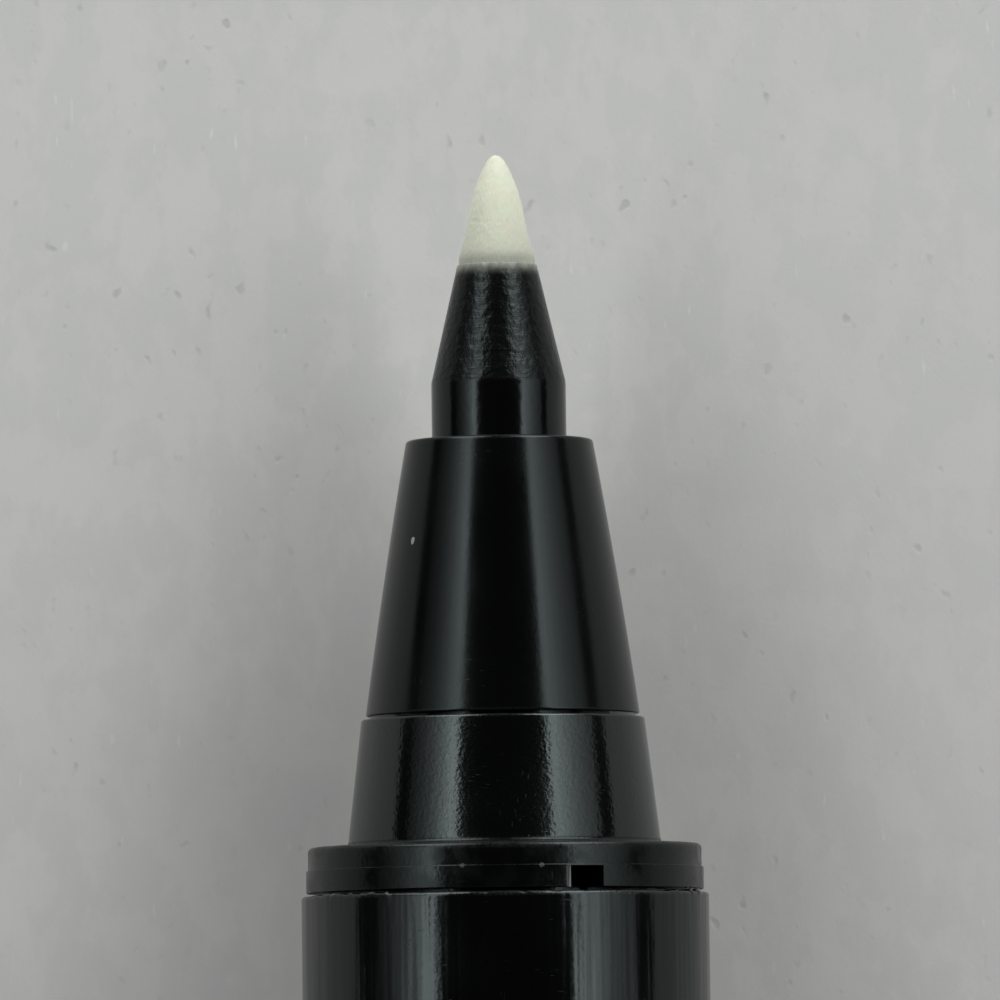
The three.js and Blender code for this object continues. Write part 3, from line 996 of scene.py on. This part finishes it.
class PEN_OT_tail_plug(bpy.types.Operator):
    """Make the plug at the tail, with the stud that the cap is posted on"""

    bl_idname = "pen.tail_plug"
    bl_label = "Tail plug"

    def execute(self, context):
        sizes = context.scene.pen_sizes
        seat = BARREL_BACK - SEAM
        face = seat - 1.14 * MM
        rear = back("tail_plug")
        inner = front("tail_plug")
        stop_back = inner - 2.1 * MM
        floor = rear + 1.3 * MM
        stop = 2.9 * MM
        bore = 2.2 * MM
        corners = [
            (rear, 0, 0),
            (rear, 3.6 * MM, 0.35 * MM),
            (face - 3.28 * MM, 3.65 * MM, EASED),
            (face, 4.04 * MM, CRISP),
            (face, BARREL_RADIUS, sizes.rim),
            (seat, BARREL_RADIUS, sizes.rim),
            (seat, PRESSED_RADIUS, 0),
            (stop_back, PRESSED_RADIUS, EASED),
            (stop_back, stop, 0),
            (inner, stop, EASED),
            (inner, bore, 0),
            (floor, bore, 0.2 * MM),
            (floor, 0, 0),
        ]
        bm = turned(outline(corners, closed=False), closed=False)
        piece = new_piece("tail_stud", bm, peeled_black())
        finish_piece(piece, "pen", "tail_plug")
        return {"FINISHED"}


class PEN_OT_reservoir(bpy.types.Operator):
    """Give the fluid reservoir its fibre, and its wrap a clear film"""

    bl_idname = "pen.reservoir"
    bl_label = "Reservoir"

    def execute(self, context):
        finishes = {"reservoir_core": reservoir_fibre(), "reservoir_wrap": clear_film()}
        for node, material in finishes.items():
            for slot in frame["nodes"][node].material_slots:
                slot.material = material
        return {"FINISHED"}


# ---- operators: the cap ----
class PEN_OT_cap_liner(bpy.types.Operator):
    """Make the soft inner cap"""

    bl_idname = "pen.cap_liner"
    bl_label = "Cap liner"

    def execute(self, context):
        mouth = front("cap_liner")
        rear = back("cap_liner")
        floor = rear + 1.2 * MM
        cup = 4.5 * MM
        bead = 4.75 * MM
        corners = [
            (rear, 0, 0),
            (rear, cup, 0.5 * MM),
            (SNAP - 1.0 * MM, cup, 0),
            (SNAP - 0.75 * MM, bead, EASED),
            (SNAP - 0.25 * MM, bead, EASED),
            (SNAP, cup, 0),
            (mouth, cup, EASED),
            (mouth, 4.12 * MM, EASED),
            (mouth - 3.28 * MM, 3.72 * MM, CRISP),
            (floor, 3.7 * MM, 1.2 * MM),
            (floor, 0, 0),
        ]
        bm = turned(outline(corners, closed=False), closed=False)
        piece = new_piece("inner_cap_cup", bm, milky_plastic())
        finish_piece(piece, "inner_cap", "cap_liner")
        return {"FINISHED"}


class PEN_OT_cap_shell(bpy.types.Operator):
    """Make the cap's outer tube"""

    bl_idname = "pen.cap_shell"
    bl_label = "Cap shell"

    def execute(self, context):
        rear = back("cap_shell")
        bore = 4.6 * MM
        groove = 4.83 * MM
        corners = [
            (rear, bore, CRISP),
            (rear, BARREL_RADIUS, 0.06 * MM),
            (CAP_MOUTH, BARREL_RADIUS, 0.16 * MM),
            (CAP_MOUTH, bore, EASED),
            (SNAP + 0.1 * MM, bore, 0),
            (SNAP - 0.2 * MM, groove, 0),
            (SNAP - 0.8 * MM, groove, 0),
            (SNAP - 1.1 * MM, bore, 0),
        ]
        bm = turned(outline(corners))
        piece = new_piece("cap_tube", bm, gloss_black())
        finish_piece(piece, "cap", "cap_shell")
        return {"FINISHED"}


class PEN_OT_cap_crown(bpy.types.Operator):
    """Make the end plug of the cap, with its air vents"""

    bl_idname = "pen.cap_crown"
    bl_label = "Cap crown"

    def execute(self, context):
        rear = CROWN_FACE
        seat = rear + 1.75 * MM
        inner = front("cap_crown")
        dish = rear + 0.12 * MM
        floor = rear + 0.875 * MM
        plug = 4.5 * MM
        bore = 3.7 * MM
        corners = [
            (dish, 0, 0),
            (dish, 3.5 * MM, 0.2 * MM),
            (rear, 3.75 * MM, EASED),
            (rear, 4.4 * MM, 0.5 * MM),
            (rear + 0.75 * MM, BARREL_RADIUS - 0.1 * MM, 0.6 * MM),
            (seat, BARREL_RADIUS, CRISP),
            (seat, plug, 0),
            (inner, plug, 0.2 * MM),
            (inner, bore, EASED),
            (floor, bore, 0.2 * MM),
            (floor, 0, 0),
        ]
        bm = turned(outline(corners, closed=False), closed=False)
        piece = new_piece("vented_crown", bm, gloss_black())
        vents = 3
        first = math.atan2(-CLIP_OUT.y, CLIP_OUT.z)
        cut(piece, [vent_cutter(first + 2 * math.pi * k / vents) for k in range(vents)])
        finish_piece(piece, "cap", "cap_crown")
        return {"FINISHED"}


class PEN_OT_clip(bpy.types.Operator):
    """Make the ring under the crown, and the springy clip with its ball"""

    bl_idname = "pen.clip"
    bl_label = "Clip"

    def execute(self, context):
        rear = back("clip_mount")
        ring_front = back("cap_shell") - 0.05 * MM
        bore = 4.55 * MM
        rim = 5.2 * MM
        corners = [
            (rear, bore, 0),
            (rear, rim, 0.04 * MM),
            (ring_front, rim, 0.04 * MM),
            (ring_front, bore, 0),
        ]
        bm = turned(outline(corners))
        ring = new_piece("clip_ring", bm, gloss_black())
        finish_piece(ring, "cap", "clip_mount")
        strip = new_piece("clip_strip", clip_strip(rear), gloss_black())
        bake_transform(strip)
        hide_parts("clip_arm")
        return {"FINISHED"}


CLIP_SIDES = 56
CLIP_KNEE = 1.3 * MM


def clip_spine(ring, tip):
    """Stations [(distance from the pen's axis, x, turn)] of the clip's spine. It rises out
    of the ring, turns a right angle round the knee and runs along the cap to the tip."""
    run_at = (CLIP_PIVOT - Vector((CLIP_PIVOT.x, AXIS_Y, AXIS_Z))).length
    foot = 4.9 * MM
    rise = 4
    bend = 14
    run = 150
    knee_at = run_at - CLIP_KNEE
    stations = [(foot + (knee_at - foot) * k / rise, ring, 0.0) for k in range(rise)]
    for k in range(bend + 1):
        turn = math.pi / 2 * k / bend
        out = knee_at + CLIP_KNEE * math.sin(turn)
        stations.append((out, ring + CLIP_KNEE * (1 - math.cos(turn)), turn))
    start = ring + CLIP_KNEE
    for k in range(1, run + 1):
        stations.append((run_at, start + (tip - start) * k / run, math.pi / 2))
    return stations


def clip_section(radius, x, start, tip):
    """Points [(across, out, edge)] round the clip where its spine is at a radius and an x:
    a crowned bar that tapers from the start of its run to a blunt tip, with a ball on its
    inner side."""
    taper = min(1.0, max(0.0, (x - start) / (tip - start)))
    rounding = max(0.0, 1 - (tip - x) / MM)
    blunt = math.sqrt(max(0.0, 1 - rounding**2))
    half_width = (1.7 - 0.25 * taper) * MM * (0.35 + 0.65 * blunt)
    half_thick = (0.65 - 0.1 * taper) * MM * (0.45 + 0.55 * blunt)
    crown = 0.12 * MM
    squareness = 0.3
    ball = 1.6 * MM
    ball_x = tip - 2.6 * MM
    ball_centre = BARREL_RADIUS + 0.1 * MM + ball
    points = []
    for k in range(CLIP_SIDES):
        angle = 2 * math.pi * (k + 0.5) / CLIP_SIDES
        c = math.cos(angle)
        s = math.sin(angle)
        across = math.copysign(abs(c) ** squareness, c) * half_width
        out = math.copysign(abs(s) ** squareness, s) * half_thick
        dome = ball**2 - (x - ball_x) ** 2 - across**2
        if out > 0:
            out -= crown * (across / half_width) ** 2
        elif dome > 0:
            out = min(out, ball_centre - math.sqrt(dome) - radius)
        on_corner = abs(abs(c) - abs(s)) < 0.35
        points.append((across, out, 1.0 if on_corner else 0.0))
    return points


def clip_strip(rear):
    """The clip, swept along its spine."""
    along = Vector((1, 0, 0))
    side = along.cross(CLIP_OUT)
    axis = Vector((0, AXIS_Y, AXIS_Z))
    ring = rear + 0.6 * MM
    tip = front("clip_arm")
    bm = bmesh.new()
    layer = bm.verts.layers.float.new("edge")
    rows = []
    for radius, x, turn in clip_spine(ring, tip):
        normal = CLIP_OUT * math.sin(turn) - along * math.cos(turn)
        centre = axis + CLIP_OUT * radius + along * x
        row = []
        for across, out, edge in clip_section(radius, x, ring + CLIP_KNEE, tip):
            vert = bm.verts.new(centre + normal * out + side * across)
            vert[layer] = edge
            row.append(vert)
        rows.append(row)
    for one, two in zip(rows, rows[1:]):
        for k in range(CLIP_SIDES):
            after = (k + 1) % CLIP_SIDES
            bm.faces.new((one[k], one[after], two[after], two[k]))
    bm.faces.new(rows[0])
    bm.faces.new(rows[-1])
    return bm


# ---- operators: the studio ----
def floor_paper():
    """Pale paper, mottled cool and warm, with soft pits, pale flecks, and shade painted darker
    towards the cap.
    """
    colour = bpy.context.scene.pen_colours.floor
    s = Surface("pale floor paper")
    shade = {k: tuple(c * k for c in colour) for k in (0.62, 0.9, 0.92, 1.15)}
    cool = tuple(c * k for c, k in zip(colour, (0.87, 0.90, 0.91)))
    broad = s.noise(22 * MM, detail=2.0)
    blotch = s.noise(4.0 * MM, detail=3.0)
    mottle = s.noise(1.5 * MM, stretch=(1.5, 1, 1), detail=4.0, roughness=0.6)
    pits = s.span(s.noise(0.42 * MM, stretch=(1.3, 1, 1), detail=1.0), 0.65, 0.8)
    pits = s.times(pits, s.span(blotch, 0.4, 0.6))
    flecks = s.span(s.noise(0.22 * MM, stretch=(4, 1, 1), detail=1.0), 0.68, 0.78)
    flecks = s.times(flecks, s.span(mottle, 0.48, 0.6))
    tooth = s.noise(0.12 * MM, detail=3.0)
    base = s.mix(s.span(broad, 0.3, 0.7, 0.0, 0.5), colour, shade[0.9])
    base = s.mix(s.span(blotch, 0.35, 0.7, 0.0, 0.6), base, shade[0.92])
    base = s.mix(s.span(mottle, 0.44, 0.56, 0.0, 0.55), base, cool)
    base = s.mix(s.times(pits, 0.5), base, shade[0.62])
    base = s.mix(s.times(flecks, 0.5), base, shade[1.15])
    # Painted shade: the paper is painted darker towards the cap, standing in for the shade near
    # the pen's body.
    painted_shade_towards_cap = s.span(s.along(), NIB_TIP - 15 * MM, NIB_TIP + 2 * MM, 0.24, 0.0)
    base = s.mix(painted_shade_towards_cap, base, shade[0.62])
    s.set(Base_Color=base, Roughness=s.span(tooth, 0.3, 0.7, 0.75, 0.9))
    s.set(Specular_IOR_Level=0.15)
    s.bump(s.total(s.times(mottle, 14.0), s.times(tooth, 3.0), s.times(pits, -8.0)))
    return s.material


def soft_light(name, away, distance, long, wide, glow):
    """A soft box that faces the nose from a direction. glow is its radiance, in watts per
    square metre and steradian. Its long side lies level."""
    light = bpy.data.lights.new(name, "AREA")
    light.shape = "RECTANGLE"
    light.size = long
    light.size_y = wide
    light.energy = glow * math.pi * long * wide
    lamp = bpy.data.objects.new(name, light)
    away = away.normalized()
    lamp.location = Vector((NOSE_FRONT, AXIS_Y, AXIS_Z)) + away * distance
    right = Vector((0, 0, 1)).cross(away).normalized()
    up = away.cross(right)
    lamp.rotation_mode = "QUATERNION"
    lamp.rotation_quaternion = Matrix((right, up, away)).transposed().to_quaternion()
    lamp.visible_camera = False
    bpy.context.scene.collection.objects.link(lamp)


def side_lights(name, side, long, peak, fall):
    """A tall soft box at one side, in bands whose glow fades away from overhead. first is
    the first band's start and band their width, in degrees."""
    distance = 0.5
    forward = 0.2
    first = 37.0
    band = 6.7
    count = 6
    wide = 2 * distance * math.tan(math.radians(band / 2))
    for k in range(count):
        angle = math.radians(first + band * (k + 0.5))
        away = Vector((forward, side * math.sin(angle), math.cos(angle)))
        glow = peak * math.exp(-band * k / fall)
        soft_light(f"{name} {k + 1}", away, distance, long, wide, glow)


def camera_over_nose(studio):
    """The camera, above the nose and set back towards the cap, with the nib at the top of
    its view."""
    camera = bpy.data.cameras.new("camera")
    camera.lens = studio.lens
    camera.sensor_width = 36.0
    camera.clip_start = 0.01
    camera.clip_end = 50.0
    holder = bpy.data.objects.new("camera", camera)
    bpy.context.scene.collection.objects.link(holder)
    target = Vector((NIB_TIP - studio.view_back, AXIS_Y, AXIS_Z))
    eye = target + Vector((-studio.camera_back, 0, studio.camera_height))
    away = (eye - target).normalized()
    right = Vector((1, 0, 0)).cross(away).normalized()
    up = away.cross(right)
    turn = Matrix((right, up, away)).transposed().to_4x4()
    roll = Matrix.Rotation(studio.roll, 4, "Z")
    holder.matrix_world = Matrix.Translation(eye) @ turn @ roll
    return holder


class PEN_OT_studio(bpy.types.Operator):
    """Make the floor, the soft lights, the surroundings and the camera"""

    bl_idname = "pen.studio"
    bl_label = "Studio"

    def execute(self, context):
        studio = context.scene.pen_studio
        bm = bmesh.new()
        bmesh.ops.create_grid(bm, x_segments=8, y_segments=8, size=4.0)
        floor = new_piece("floor", bm, floor_paper())

        side_lights("left softbox", 1, 0.5, 3.9, 11.0)
        side_lights("right softbox", -1, 0.6, 3.6, 18.0)
        soft_light("front left window", Vector((2.0, 1.3, 1)), 0.9, 0.5, 0.56, 5.2)
        soft_light("front right window", Vector((2.0, -1.3, 1)), 0.9, 0.5, 0.56, 6.0)
        soft_light("back window", Vector((-1.9, 0, 1)), 0.6, 0.6, 0.4, 0.3)

        world = bpy.data.worlds.new("studio")
        world.use_nodes = True
        background = world.node_tree.nodes["Background"]
        background.inputs["Color"].default_value = (0.5, 0.5, 0.5, 1)
        background.inputs["Strength"].default_value = 0.02
        context.scene.world = world

        context.scene.camera = camera_over_nose(studio)
        context.scene.view_settings.view_transform = "Standard"
        return {"FINISHED"}


STEPS = (
    PEN_OT_studio,
    PEN_OT_nib,
    PEN_OT_nib_holder,
    PEN_OT_nose_cone,
    PEN_OT_section_collar,
    PEN_OT_barrel,
    PEN_OT_tail_plug,
    PEN_OT_reservoir,
    PEN_OT_cap_liner,
    PEN_OT_cap_shell,
    PEN_OT_cap_crown,
    PEN_OT_clip,
)


class PEN_PT_panel(bpy.types.Panel):
    """Lists the steps that build the pen"""

    bl_idname = "PEN_PT_panel"
    bl_label = "Detector pen"
    bl_space_type = "VIEW_3D"
    bl_region_type = "UI"
    bl_category = "Pen"

    def draw(self, context):
        for step in STEPS:
            self.layout.operator(step.bl_idname)


GROUPS = {"pen_sizes": PenSizes, "pen_colours": PenColours, "pen_studio": PenStudio}


def register():
    for cls in (*GROUPS.values(), *STEPS, PEN_PT_panel):
        bpy.utils.register_class(cls)
    for name, group in GROUPS.items():
        setattr(bpy.types.Scene, name, PointerProperty(type=group))


def unregister():
    for name in GROUPS:
        delattr(bpy.types.Scene, name)
    for cls in reversed((*GROUPS.values(), *STEPS, PEN_PT_panel)):
        bpy.utils.unregister_class(cls)


def main():
    register()
    for step in STEPS:
        family, name = step.bl_idname.split(".")
        getattr(getattr(bpy.ops, family), name)()


if __name__ == "__main__":
    main()
